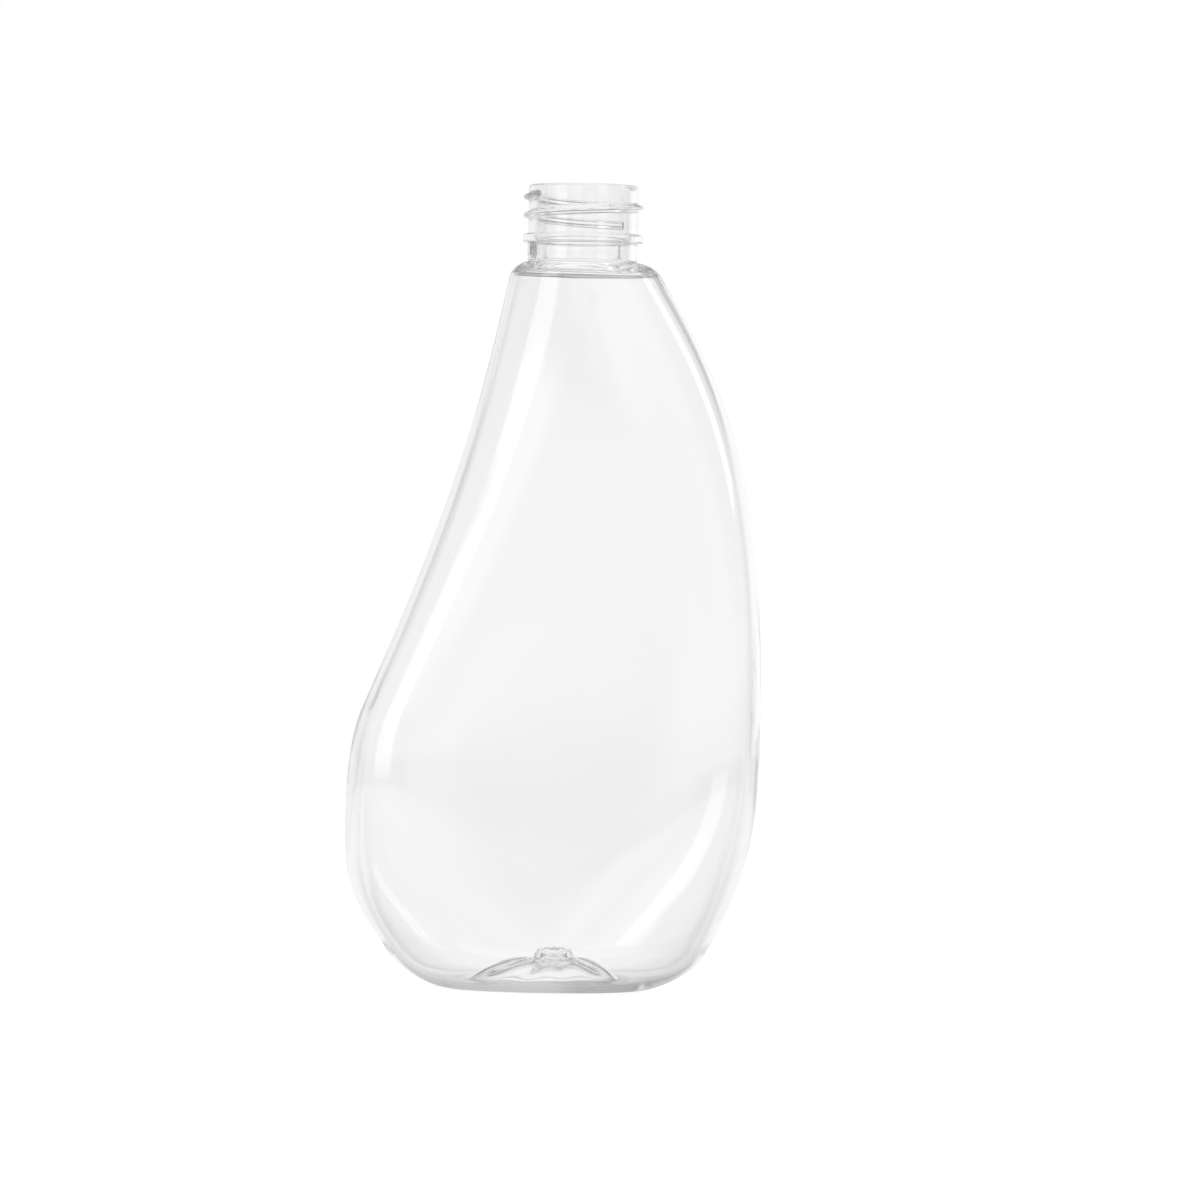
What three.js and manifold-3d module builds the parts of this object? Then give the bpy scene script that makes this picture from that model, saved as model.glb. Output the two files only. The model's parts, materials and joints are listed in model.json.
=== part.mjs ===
// A drop-shaped bottle of clear stretch-blown plastic with an open threaded neck.
// Millimetres, +Z up. It stands on z = 0, its two flanks reach equally far from x = 0 and its front faces -Y.
// The bottle is one moulding. It is divided here where the parts of its mould met: the neck finish,
// the front and back halves of the blown body, and the base. The halves meet on the plane y = 0.

import * as THREE from "three";
import { mergeVertices } from "three/addons/utils/BufferGeometryUtils.js";
import Module from "manifold-3d";

// Blown body: heights above the floor
const BODY_HEIGHT = 167.5;
const SHOULDER_RISE = 3.5;
const LEFT_BELLY_Z = 36;
const KNEE_Z = 64;
const RIGHT_FLANK_Z = 68;
const DEEPEST_Z = 28;
const FULLEST_Z = 55;

// Overall width and depth of the blown body
const BODY_WIDTH = 94.8;
const BODY_DEPTH = 58;

// How far the outlines stand in from the widest places: the left foot and knee from the belly,
// the right foot from the flank, and the front and back of the foot from the deepest level
const LEFT_FOOT_INSET = 15.8;
const KNEE_INSET = 3.4;
const RIGHT_FOOT_INSET = 16.6;
const FOOT_DEPTH_INSET = 1.5;

// Width of the shoulder outside the neck, on its left, its right and its front and back
const LEFT_SHOULDER_WIDTH = 4.1;
const RIGHT_SHOULDER_WIDTH = 5.75;
const FRONT_SHOULDER_WIDTH = 2.6;

// Lean of the outlines, as distance out per distance up
const LEFT_FOOT_LEAN = 0.66;
const LEFT_KNEE_LEAN = -0.42;
const LEFT_SHOULDER_LEAN = -0.2;
const RIGHT_FOOT_LEAN = 0.6;
const RIGHT_SHOULDER_LEAN = -0.6;
const FOOT_DEPTH_LEAN = 0.15;
const SHOULDER_DEPTH_LEAN = -0.02;

// Pull of the outlines' curves where they leave and arrive, as a share of the height of that stretch
const LEFT_FOOT_PULL = 0.5;
const UNDER_BELLY_PULL = 0.45;
const OVER_BELLY_PULL = 0.2;
const UNDER_KNEE_PULL = 0.28;
const OVER_KNEE_PULL = 0.36;
const LEFT_SHOULDER_PULL = 0.4;
const RIGHT_FOOT_PULL = 0.44;
const UNDER_FLANK_PULL = 0.38;
const OVER_FLANK_PULL = 0.54;
const RIGHT_SHOULDER_PULL = 0.25;
const FOOT_DEPTH_PULL = 0.3;
const UNDER_DEEPEST_PULL = 0.45;
const OVER_DEEPEST_PULL = 0.6;
const SHOULDER_DEPTH_PULL = 0.36;

// Section of the body: 2 is an ellipse, as at floor and shoulder, and more is fuller at the corners
const BELLY_FULLNESS = 5;
const ROUND_FULLNESS = 2;

// Shoulder: it rolls in from the body and runs flat up to the neck, as shares of its way in and of its rise
const ROLL_IN_RISE = 0.3;
const TURN_IN_SHARE = 0.42;
const TURN_IN_RISE = 0.93;

// Walls
const BODY_WALL = 0.6;
const BASE_WALL = 0.9;
const NECK_WALL = 1.8;

// Base: the foot tucks in under the body over its height, down to a flat standing ring, and the middle is
// pushed up, with flutes and a gate
const FOOT_HEIGHT = 8.6;
const LEFT_TUCK = 10;
const RIGHT_TUCK = 12.6;
const FRONT_TUCK = 10;
const BASE_BAND = 1.5;
const STANDING_RING_WIDTH = 2;
const PUSH_UP_HEIGHT = 5.2;
const PUSH_UP_X = 1;
const PUSH_UP_START_SHARE = 0.1;
const PUSH_UP_CROWN_SHARE = 0.4;
const FLUTE_COUNT = 8;
const FLUTE_DEPTH = 0.5;
const GATE_RADIUS = 3.6;
const GATE_RISE = 2;
const GATE_SLOPE = 0.8;

// Neck finish, from the shoulder up to the sealing rim
const NECK_X = 4.85;
const ROOT_DIAMETER = 25.2;
const COLLAR_HEIGHT = 4.2;
const BEAD_HEIGHT = 2;
const BEAD_PROUD = 1.15;
const BEAD_ROUND = 0.4;
const BEAD_TO_THREAD = 1.55;
const THREAD_PITCH = 4.2;
const THREAD_TURNS = 1.54;
const THREAD_WIDTH = 2;
const THREAD_CREST = 0.5;
const THREAD_PROUD = 1.15;
const THREAD_TO_RIM = 1.3;
const THREAD_START_DEG = 120;
const THREAD_RUNOUT_DEG = 40;
const RIM_ROUND = 0.5;
const LUG_WIDTH = 2.6;
const LUG_PROUD = 0.95;
const LUG_GAP = 1;
const LUG_ANGLES_DEG = [-66, 136];

// Depth to which the thread and the lugs run into the neck wall that carries them
const ROOTED = 0.4;

// Fineness of the surfaces, with the body's rows crowded towards its rounder lower end
const STEPS_AROUND = 48;
const BODY_ROWS = 20;
const ROW_CROWDING = 1.3;
const SHOULDER_ROWS = 7;
const FOOT_ROWS = 6;
const PUSH_UP_ROWS = 8;
const BEVEL_STEPS = 3;
const SEARCH_STEPS = 40;

// Worked-out sizes
const SHOULDER_Z = BODY_HEIGHT - SHOULDER_RISE;
const BASE_TOP_Z = FOOT_HEIGHT + BASE_BAND;
const ROOT_RADIUS = ROOT_DIAMETER / 2;
const BORE_RADIUS = ROOT_RADIUS - NECK_WALL;
const BEAD_TOP = COLLAR_HEIGHT + BEAD_HEIGHT;
const LEFT_BELLY = BODY_WIDTH / 2;
const LEFT_FOOT = LEFT_BELLY - LEFT_FOOT_INSET;
const LEFT_KNEE = LEFT_BELLY - KNEE_INSET;
const LEFT_SHOULDER = ROOT_RADIUS - NECK_X + LEFT_SHOULDER_WIDTH;
const RIGHT_FLANK = BODY_WIDTH / 2;
const RIGHT_FOOT = RIGHT_FLANK - RIGHT_FOOT_INSET;
const RIGHT_SHOULDER = ROOT_RADIUS + NECK_X + RIGHT_SHOULDER_WIDTH;
const BELLY_HALF_DEPTH = BODY_DEPTH / 2;
const FOOT_HALF_DEPTH = BELLY_HALF_DEPTH - FOOT_DEPTH_INSET;
const SHOULDER_HALF_DEPTH = ROOT_RADIUS + FRONT_SHOULDER_WIDTH;
const THREAD_START = BEAD_TOP + BEAD_TO_THREAD + THREAD_WIDTH / 2;
const THREAD_END = THREAD_START + THREAD_PITCH * THREAD_TURNS;
const FINISH_HEIGHT = THREAD_END + THREAD_WIDTH / 2 + THREAD_TO_RIM;

const { degToRad, lerp, smoothstep } = THREE.MathUtils;

// A stretch of outline between two points (distance out, height), leaving and arriving at the given leans
function stretch(from, fromLean, fromPull, to, toLean, toPull) {
  const [start, end] = [new THREE.Vector2(...from), new THREE.Vector2(...to)];
  const rise = end.y - start.y;
  const leave = new THREE.Vector2(fromLean, 1).multiplyScalar(fromPull * rise).add(start);
  const arrive = new THREE.Vector2(toLean, 1).multiplyScalar(-toPull * rise).add(end);
  return new THREE.CubicBezierCurve(start, leave, arrive, end);
}

const UPRIGHT = 0;
const belly = [LEFT_BELLY, LEFT_BELLY_Z];
const knee = [LEFT_KNEE, KNEE_Z];
const leftShoulder = [LEFT_SHOULDER, SHOULDER_Z];
const leftOutline = [
  stretch([LEFT_FOOT, 0], LEFT_FOOT_LEAN, LEFT_FOOT_PULL, belly, UPRIGHT, UNDER_BELLY_PULL),
  stretch(belly, UPRIGHT, OVER_BELLY_PULL, knee, LEFT_KNEE_LEAN, UNDER_KNEE_PULL),
  stretch(knee, LEFT_KNEE_LEAN, OVER_KNEE_PULL, leftShoulder, LEFT_SHOULDER_LEAN, LEFT_SHOULDER_PULL),
];

const flank = [RIGHT_FLANK, RIGHT_FLANK_Z];
const rightShoulder = [RIGHT_SHOULDER, SHOULDER_Z];
const rightOutline = [
  stretch([RIGHT_FOOT, 0], RIGHT_FOOT_LEAN, RIGHT_FOOT_PULL, flank, UPRIGHT, UNDER_FLANK_PULL),
  stretch(flank, UPRIGHT, OVER_FLANK_PULL, rightShoulder, RIGHT_SHOULDER_LEAN, RIGHT_SHOULDER_PULL),
];

const deepest = [BELLY_HALF_DEPTH, DEEPEST_Z];
const frontShoulder = [SHOULDER_HALF_DEPTH, SHOULDER_Z];
const depthOutline = [
  stretch([FOOT_HALF_DEPTH, 0], FOOT_DEPTH_LEAN, FOOT_DEPTH_PULL, deepest, UPRIGHT, UNDER_DEEPEST_PULL),
  stretch(deepest, UPRIGHT, OVER_DEEPEST_PULL, frontShoulder, SHOULDER_DEPTH_LEAN, SHOULDER_DEPTH_PULL),
];

// How far out an outline lies at a height, found by halving along its curve
function reachAt(outline, height) {
  const curve = outline.find((piece) => height <= piece.v3.y) ?? outline.at(-1);
  let [low, high] = [0, 1];
  for (let step = 0; step < SEARCH_STEPS; step += 1) {
    const middle = (low + high) / 2;
    if (curve.getPoint(middle).y < height) low = middle;
    else high = middle;
  }
  return curve.getPoint(low).x;
}

// The section is fullest across the belly and becomes an ellipse towards the floor and the shoulder
function fullnessAt(height) {
  const share = smoothstep(height, 0, FULLEST_Z) - smoothstep(height, FULLEST_Z, SHOULDER_Z);
  return lerp(ROUND_FULLNESS, BELLY_FULLNESS, share);
}

// A ring is one level section: centre x, half width, half depth, fullness and height
function bodyRing(height) {
  const left = reachAt(leftOutline, height);
  const right = reachAt(rightOutline, height);
  return {
    x: (right - left) / 2,
    halfWidth: (right + left) / 2,
    halfDepth: reachAt(depthOutline, height),
    fullness: fullnessAt(height),
    height,
  };
}

function roundRing(x, radius, height) {
  return { x, halfWidth: radius, halfDepth: radius, fullness: ROUND_FULLNESS, height };
}

function insetRing(ring, inset, height) {
  return { ...ring, halfWidth: ring.halfWidth - inset, halfDepth: ring.halfDepth - inset, height };
}

// The foot at a turn from its upright top to its level sole
function footRing(turn) {
  const ring = bodyRing(FOOT_HEIGHT * (1 - Math.sin(turn)));
  const tucked = 1 - Math.cos(turn);
  return {
    ...ring,
    x: ring.x + (tucked * (LEFT_TUCK - RIGHT_TUCK)) / 2,
    halfWidth: ring.halfWidth - (tucked * (LEFT_TUCK + RIGHT_TUCK)) / 2,
    halfDepth: ring.halfDepth - tucked * FRONT_TUCK,
  };
}

function blendRings(from, to, share, height) {
  return {
    x: lerp(from.x, to.x, share),
    halfWidth: lerp(from.halfWidth, to.halfWidth, share),
    halfDepth: lerp(from.halfDepth, to.halfDepth, share),
    fullness: lerp(from.fullness, to.fullness, share),
    height,
  };
}

// Points of a ring on the superellipse |x/a|^n + |y/b|^n = 1. A fluted ring also rises and falls around.
function ringPoints(ring) {
  const swell = (value) => Math.sign(value) * Math.abs(value) ** (2 / ring.fullness);
  return Array.from({ length: STEPS_AROUND }, (_, step) => {
    const turn = (2 * Math.PI * step) / STEPS_AROUND;
    const onSeam = step % (STEPS_AROUND / 2) === 0;
    return new THREE.Vector3(
      ring.x + ring.halfWidth * swell(Math.cos(turn)),
      onSeam ? 0 : ring.halfDepth * swell(Math.sin(turn)),
      ring.height + (ring.flute ?? 0) * Math.cos(FLUTE_COUNT * turn),
    );
  });
}

// The inner face of a wall: each outer point moved in along its normal by the wall there.
// Points on the level parting face between body and base stay at their height.
function innerRows(outer, walls, partingRow) {
  const last = outer.length - 1;
  return outer.map((row, rowIndex) => row.map((point, step) => {
    const up = outer[Math.max(rowIndex - 1, 0)][step].clone().sub(outer[Math.min(rowIndex + 1, last)][step]);
    const before = row[(step + STEPS_AROUND - 1) % STEPS_AROUND];
    const along = row[(step + 1) % STEPS_AROUND].clone().sub(before);
    const normal = along.cross(up).normalize();
    if (rowIndex === partingRow) {
      const flat = new THREE.Vector3(normal.x, normal.y, 0);
      normal.copy(flat).divideScalar(flat.lengthSq());
    }
    const inner = point.clone().addScaledVector(normal, -walls[rowIndex]);
    return point.y === 0 ? inner.setY(0) : inner;
  }));
}

// The skin of a wall from its closed section loops, each running down the outer face and back up the inner.
// The loops join up all round, or the first and last are closed by flat faces.
function wallGeometry(loops, joinsUp) {
  const positions = [];
  const triangle = (...corners) => {
    const [a, b, c] = corners;
    const collapsed = a.equals(b) || b.equals(c) || c.equals(a);
    if (!collapsed) corners.forEach((corner) => positions.push(...corner));
  };
  const quad = (a, b, c, d) => {
    triangle(a, b, c);
    triangle(a, c, d);
  };
  const size = loops[0].length;
  const spans = joinsUp ? loops.length : loops.length - 1;
  for (let span = 0; span < spans; span += 1) {
    const [here, next] = [loops[span], loops[(span + 1) % loops.length]];
    here.forEach((point, i) => quad(point, here[(i + 1) % size], next[(i + 1) % size], next[i]));
  }
  if (!joinsUp) {
    const [first, final] = [loops[0], loops.at(-1)];
    for (let i = 0; i < size / 2 - 1; i += 1) {
      const across = size - 1 - i;
      quad(first[i], first[across], first[across - 1], first[i + 1]);
      quad(final[i], final[i + 1], final[across - 1], final[across]);
    }
  }
  const geometry = new THREE.BufferGeometry();
  geometry.setAttribute("position", new THREE.Float32BufferAttribute(positions, 3));
  return mergeVertices(geometry);
}

function sectionLoop(outer, inner, step) {
  const column = step % STEPS_AROUND;
  return [...outer.map((row) => row[column]), ...inner.map((row) => row[column]).reverse()];
}

// Rows of the blown body, from the neck's foot down over the shoulder to the top of the base
function bodyRings() {
  const neckFoot = roundRing(NECK_X, ROOT_RADIUS, BODY_HEIGHT);
  const shoulder = bodyRing(SHOULDER_Z);
  const roll = new THREE.CubicBezierCurve(
    new THREE.Vector2(1, SHOULDER_RISE),
    new THREE.Vector2(TURN_IN_SHARE, SHOULDER_RISE * TURN_IN_RISE),
    new THREE.Vector2(0, SHOULDER_RISE * ROLL_IN_RISE),
    new THREE.Vector2(0, 0),
  );
  const shoulderRings = roll.getPoints(SHOULDER_ROWS).map(({ x: share, y: rise }) => {
    const ring = blendRings(shoulder, neckFoot, share, SHOULDER_Z + rise);
    return { ...ring, wall: lerp(BODY_WALL, NECK_WALL, share ** 2) };
  });
  const sideRings = Array.from({ length: BODY_ROWS }, (_, row) => {
    const share = 1 - (row + 1) / BODY_ROWS;
    const height = lerp(BASE_TOP_Z, SHOULDER_Z, share ** ROW_CROWDING);
    return { ...bodyRing(height), wall: BODY_WALL };
  });
  return [...shoulderRings, ...sideRings];
}

// Half of the body, whose inner face starts at the neck's bore
function bodyHalf(firstStep) {
  const rings = bodyRings();
  const outer = rings.map(ringPoints);
  const inner = innerRows(outer, rings.map((ring) => ring.wall), rings.length - 1);
  inner[0] = ringPoints(roundRing(NECK_X, BORE_RADIUS, BODY_HEIGHT));
  const loops = Array.from({ length: STEPS_AROUND / 2 + 1 }, (_, step) =>
    sectionLoop(outer, inner, firstStep + step));
  return wallGeometry(loops, false);
}

// Rows of the base, from its parting face round the foot, across the standing ring and up to the gate
function baseRings() {
  const band = [bodyRing(BASE_TOP_Z)];
  const turns = Array.from({ length: FOOT_ROWS + 1 }, (_, row) => (Math.PI / 2) * (row / FOOT_ROWS));
  const foot = turns.map(footRing);
  const standing = insetRing(foot.at(-1), STANDING_RING_WIDTH, 0);
  const gate = roundRing(PUSH_UP_X, GATE_RADIUS, PUSH_UP_HEIGHT);
  const rise = new THREE.CubicBezierCurve(
    new THREE.Vector2(0, 0),
    new THREE.Vector2(PUSH_UP_START_SHARE, 0),
    new THREE.Vector2(PUSH_UP_CROWN_SHARE, PUSH_UP_HEIGHT),
    new THREE.Vector2(1, PUSH_UP_HEIGHT),
  );
  const pushUp = rise.getPoints(PUSH_UP_ROWS).map(({ x: share, y: height }) => ({
    ...blendRings(standing, gate, share, height),
    flute: FLUTE_DEPTH * Math.sin(Math.PI * share) ** 2,
  }));
  const gateTop = insetRing(gate, GATE_SLOPE, PUSH_UP_HEIGHT + GATE_RISE);
  return [...band, ...foot, ...pushUp, gateTop];
}

function baseCup() {
  const rings = baseRings();
  const outer = rings.map(ringPoints);
  const inner = innerRows(outer, rings.map(() => BASE_WALL), 0);
  const centre = new THREE.Vector3(PUSH_UP_X, 0, PUSH_UP_HEIGHT + GATE_RISE);
  outer.push(Array(STEPS_AROUND).fill(centre));
  inner.push(Array(STEPS_AROUND).fill(centre.clone().setZ(centre.z + BASE_WALL)));
  const loops = Array.from({ length: STEPS_AROUND }, (_, step) => sectionLoop(outer, inner, step));
  return wallGeometry(loops, true);
}

// Points of a quarter round between two directions, given in degrees from the outward side
function bevel(centreRadius, centreHeight, round, fromDeg, toDeg) {
  return Array.from({ length: BEVEL_STEPS + 1 }, (_, step) => {
    const angle = degToRad(lerp(fromDeg, toDeg, step / BEVEL_STEPS));
    return new THREE.Vector2(centreRadius + round * Math.cos(angle), centreHeight + round * Math.sin(angle));
  });
}

// The neck's tube with its bead, turned about its own axis from a section that closes on itself
function neckTube() {
  const beadRadius = ROOT_RADIUS + BEAD_PROUD;
  const section = [
    new THREE.Vector2(BORE_RADIUS, 0),
    new THREE.Vector2(ROOT_RADIUS, 0),
    new THREE.Vector2(ROOT_RADIUS, COLLAR_HEIGHT),
    ...bevel(beadRadius - BEAD_ROUND, COLLAR_HEIGHT + BEAD_ROUND, BEAD_ROUND, -90, 0),
    ...bevel(beadRadius - BEAD_ROUND, BEAD_TOP - BEAD_ROUND, BEAD_ROUND, 0, 90),
    new THREE.Vector2(ROOT_RADIUS, BEAD_TOP),
    ...bevel(ROOT_RADIUS - RIM_ROUND, FINISH_HEIGHT - RIM_ROUND, RIM_ROUND, 0, 90),
    new THREE.Vector2(BORE_RADIUS, FINISH_HEIGHT),
    new THREE.Vector2(BORE_RADIUS, 0),
  ];
  return new THREE.LatheGeometry(section, STEPS_AROUND).rotateX(Math.PI / 2);
}

// A point at an angle around the neck, counted from the front towards the right
function aroundNeck(angle, radius, height) {
  return new THREE.Vector3(radius * Math.sin(angle), -radius * Math.cos(angle), height);
}

// One right-handed thread: a ridge with a narrow crest that climbs the neck and sinks away at its upper end
function thread() {
  const rooted = ROOT_RADIUS - ROOTED;
  const steps = Math.round(STEPS_AROUND * THREAD_TURNS);
  const runoutSteps = STEPS_AROUND * (THREAD_RUNOUT_DEG / 360);
  const loops = Array.from({ length: steps + 1 }, (_, step) => {
    const angle = degToRad(THREAD_START_DEG) + (2 * Math.PI * step) / STEPS_AROUND;
    const height = lerp(THREAD_START, THREAD_END, step / steps);
    const sunk = 1 - smoothstep(steps - step, 0, runoutSteps);
    const crest = lerp(ROOT_RADIUS + THREAD_PROUD, ROOT_RADIUS - ROOTED / 2, sunk);
    return [
      aroundNeck(angle, crest, height + THREAD_CREST / 2),
      aroundNeck(angle, crest, height - THREAD_CREST / 2),
      aroundNeck(angle, rooted, height - THREAD_WIDTH / 2),
      aroundNeck(angle, rooted, height + THREAD_WIDTH / 2),
    ];
  });
  return wallGeometry(loops, false);
}

// A short upright rib under the bead
function lug(angleDeg) {
  const bottom = LUG_GAP;
  const top = COLLAR_HEIGHT + BEAD_HEIGHT / 2;
  const angle = degToRad(angleDeg);
  const rib = new THREE.BoxGeometry(LUG_WIDTH, LUG_PROUD + ROOTED, top - bottom);
  const middle = aroundNeck(angle, ROOT_RADIUS + (LUG_PROUD - ROOTED) / 2, (top + bottom) / 2);
  return rib.rotateZ(angle).translate(...middle);
}

const wasm = await Module();
wasm.setup();

function solidOf(geometry) {
  const bare = geometry.clone();
  bare.deleteAttribute("normal");
  bare.deleteAttribute("uv");
  const { index, attributes } = mergeVertices(bare);
  const vertProperties = new Float32Array(attributes.position.array);
  const triVerts = new Uint32Array(index.array);
  return new wasm.Manifold(new wasm.Mesh({ numProp: 3, vertProperties, triVerts }));
}

function geometryOf(solid) {
  const { vertProperties, triVerts } = solid.getMesh();
  const geometry = new THREE.BufferGeometry();
  geometry.setAttribute("position", new THREE.BufferAttribute(vertProperties, 3));
  return geometry.setIndex(new THREE.BufferAttribute(triVerts, 1));
}

function neckFinish() {
  const additions = [thread(), ...LUG_ANGLES_DEG.map(lug)];
  const joined = additions.reduce((neck, piece) => neck.add(solidOf(piece)), solidOf(neckTube()));
  return geometryOf(joined);
}

function clearPlastic() {
  return new THREE.MeshStandardMaterial({
    color: 0xeef2f2,
    roughness: 0.08,
    metalness: 0,
    transparent: true,
    opacity: 0.35,
  });
}

function subPart(name, geometry) {
  const mesh = new THREE.Mesh(geometry, clearPlastic());
  mesh.name = name;
  return mesh;
}

const bottle = new THREE.Group();
bottle.add(subPart("base_cup", baseCup()));
bottle.add(subPart("front_half", bodyHalf(STEPS_AROUND / 2)));
bottle.add(subPart("back_half", bodyHalf(0)));

const neck = subPart("neck_finish", neckFinish());
neck.position.set(NECK_X, 0, BODY_HEIGHT);
bottle.add(neck);

export default bottle;
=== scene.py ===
# %% [markdown]
# # A clear drop-shaped bottle
#
# The object is one blown piece of clear plastic: an oval body that bellies out to the left, a short
# shoulder, and a neck with a screw thread. Clear plastic shows both faces of its wall at once, so the lesson
# builds the bottle as one closed skin that runs up the outside, over the rim and down the inside. The solids
# of the frame stay underneath for physics and are hidden.

# %% Load the frame
import json
import math

import bpy
import numpy as np
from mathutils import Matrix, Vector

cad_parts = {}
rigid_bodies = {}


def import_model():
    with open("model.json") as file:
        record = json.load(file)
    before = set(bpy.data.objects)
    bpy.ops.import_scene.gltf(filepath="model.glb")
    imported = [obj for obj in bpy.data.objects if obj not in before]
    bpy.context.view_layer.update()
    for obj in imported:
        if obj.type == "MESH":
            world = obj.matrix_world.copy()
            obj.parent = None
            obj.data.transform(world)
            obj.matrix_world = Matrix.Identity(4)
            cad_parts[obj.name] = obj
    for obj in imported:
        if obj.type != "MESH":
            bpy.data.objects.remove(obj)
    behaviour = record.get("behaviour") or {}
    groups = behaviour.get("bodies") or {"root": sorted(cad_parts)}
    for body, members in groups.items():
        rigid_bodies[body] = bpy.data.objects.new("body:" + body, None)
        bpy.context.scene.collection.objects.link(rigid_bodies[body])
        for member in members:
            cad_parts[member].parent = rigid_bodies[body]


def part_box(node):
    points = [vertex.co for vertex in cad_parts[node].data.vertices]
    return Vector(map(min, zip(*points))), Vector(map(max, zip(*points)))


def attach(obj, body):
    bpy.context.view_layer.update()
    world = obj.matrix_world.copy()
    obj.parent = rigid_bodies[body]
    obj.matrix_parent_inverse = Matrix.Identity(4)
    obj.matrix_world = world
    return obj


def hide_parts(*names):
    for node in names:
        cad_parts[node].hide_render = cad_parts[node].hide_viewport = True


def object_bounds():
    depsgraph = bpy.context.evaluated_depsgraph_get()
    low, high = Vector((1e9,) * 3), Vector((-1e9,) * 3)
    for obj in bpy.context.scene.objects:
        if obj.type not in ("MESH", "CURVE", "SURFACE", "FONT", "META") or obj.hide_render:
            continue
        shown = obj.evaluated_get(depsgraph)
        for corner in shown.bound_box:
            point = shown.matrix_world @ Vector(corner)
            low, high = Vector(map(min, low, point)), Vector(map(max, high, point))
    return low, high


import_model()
cad_low, cad_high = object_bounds()
MM = 0.001
print("CAD box in mm:", [round(v / MM, 2) for v in (*cad_low, *cad_high)])

# %% [markdown]
# ## The outlines
#
# Seen from the front the bottle has two different sides. The left one swells low down, turns at a knee and
# sweeps in to the shoulder; the right one is a single long bow. A designer would draw each with a few curve
# handles, so each is a chain of cubic Bezier stretches here, given by points (distance out, height), leans
# and pulls. A third outline gives the depth, which is the same at the front and the back.

# %% Curve helpers
SAMPLES_PER_STRETCH = 400


def bezier(corners, count):
    """Cubic Bezier of four corners: s^3 A + 3 s^2 t B + 3 s t^2 C + t^3 D, with s = 1 - t."""
    a, b, c, d = np.array(corners, float)
    t = np.linspace(0.0, 1.0, count).reshape(-1, *np.ones(a.ndim, int))
    s = 1.0 - t
    return s**3 * a + 3 * s**2 * t * b + 3 * s * t**2 * c + t**3 * d


def stretch(start, start_lean, start_pull, end, end_lean, end_pull):
    """A stretch of outline. Each handle follows its lean (out per up) for its pull times the rise."""
    start, end = np.array(start), np.array(end)
    rise = end[1] - start[1]
    leave = start + np.array((start_lean, 1.0)) * start_pull * rise
    arrive = end - np.array((end_lean, 1.0)) * end_pull * rise
    return bezier((start, leave, arrive, end), SAMPLES_PER_STRETCH)


def reach(outline, height):
    """How far out an outline lies at each height, read off its sampled curve."""
    return np.interp(height, outline[:, 1], outline[:, 0])


def smooth(value, low, high):
    """Smoothstep: 0 below low, 1 above high, and the S-curve 3 t^2 - 2 t^3 between."""
    t = np.clip((value - low) / (high - low), 0.0, 1.0)
    return t * t * (3.0 - 2.0 * t)


print("a smoothstep is %.2f a quarter of the way up" % smooth(0.25, 0.0, 1.0))

# %% The neck's place, from the frame
neck_low, neck_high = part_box("neck_finish")
NECK_X = (neck_low[0] + neck_high[0]) / 2
BODY_HEIGHT = neck_low[2]
RIM_Z = neck_high[2]
NECK_RADIUS = 12.6 * MM
print("neck axis at x = %.2f mm, from %.1f to %.1f mm up" % (NECK_X / MM, BODY_HEIGHT / MM, RIM_Z / MM))

# %% The three outlines
SHOULDER_RISE = 3.5 * MM
SHOULDER_Z = BODY_HEIGHT - SHOULDER_RISE
HALF_WIDTH = (cad_high[0] - cad_low[0]) / 2
HALF_DEPTH = (cad_high[1] - cad_low[1]) / 2
DEEPEST_Z = 28 * MM

left_foot = (HALF_WIDTH - 15.8 * MM, 0.0)
left_belly = (HALF_WIDTH, 36 * MM)
left_knee = (HALF_WIDTH - 3.4 * MM, 64 * MM)
left_shoulder = (NECK_RADIUS - NECK_X + 4.1 * MM, SHOULDER_Z)
left_outline = np.vstack([
    stretch(left_foot, 0.66, 0.5, left_belly, 0.0, 0.45),
    stretch(left_belly, 0.0, 0.2, left_knee, -0.42, 0.28),
    stretch(left_knee, -0.42, 0.36, left_shoulder, -0.2, 0.4),
])

right_foot = (HALF_WIDTH - 16.6 * MM, 0.0)
right_flank = (HALF_WIDTH, 68 * MM)
right_shoulder = (NECK_RADIUS + NECK_X + 5.75 * MM, SHOULDER_Z)
right_outline = np.vstack([
    stretch(right_foot, 0.6, 0.44, right_flank, 0.0, 0.38),
    stretch(right_flank, 0.0, 0.54, right_shoulder, -0.6, 0.25),
])

front_foot = (HALF_DEPTH - 1.5 * MM, 0.0)
front_belly = (HALF_DEPTH, DEEPEST_Z)
front_shoulder = (NECK_RADIUS + 2.6 * MM, SHOULDER_Z)
depth_outline = np.vstack([
    stretch(front_foot, 0.15, 0.3, front_belly, 0.0, 0.45),
    stretch(front_belly, 0.0, 0.6, front_shoulder, -0.02, 0.36),
])
print("outline samples:", len(left_outline), len(right_outline), len(depth_outline))

# %% [markdown]
# ## Level sections
#
# Every level of the body is a rounded oval. A superellipse has one number for that: 2 gives a plain ellipse,
# as at floor and shoulder, and more gives the fuller corners of the belly. It is worked out in polar form,
# so one array of angles serves every level. Two columns of points lie close to each side of the parting
# plane, where the mould leaves its fine raised line.

# %% Angles around the bottle
COLUMNS_PER_HALF = 104
PARTING_STEP = 0.008

half_turn = np.linspace(0.0, math.pi, COLUMNS_PER_HALF + 1)
beside_parting = np.array((PARTING_STEP, 2 * PARTING_STEP))
half_turn = np.sort(np.concatenate([half_turn, beside_parting, math.pi - beside_parting]))
around = np.concatenate([half_turn[:-1], math.pi + half_turn[:-1]])
print(len(around), "columns around")

# %% Section helpers
BELLY_FULLNESS = 5.0
FULLEST_Z = 55 * MM
ROUND_FULLNESS = 2.0
FOOT_HEIGHT = 8.6 * MM
LEFT_TUCK = 10 * MM
RIGHT_TUCK = 12.6 * MM
FRONT_TUCK = 10 * MM


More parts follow.
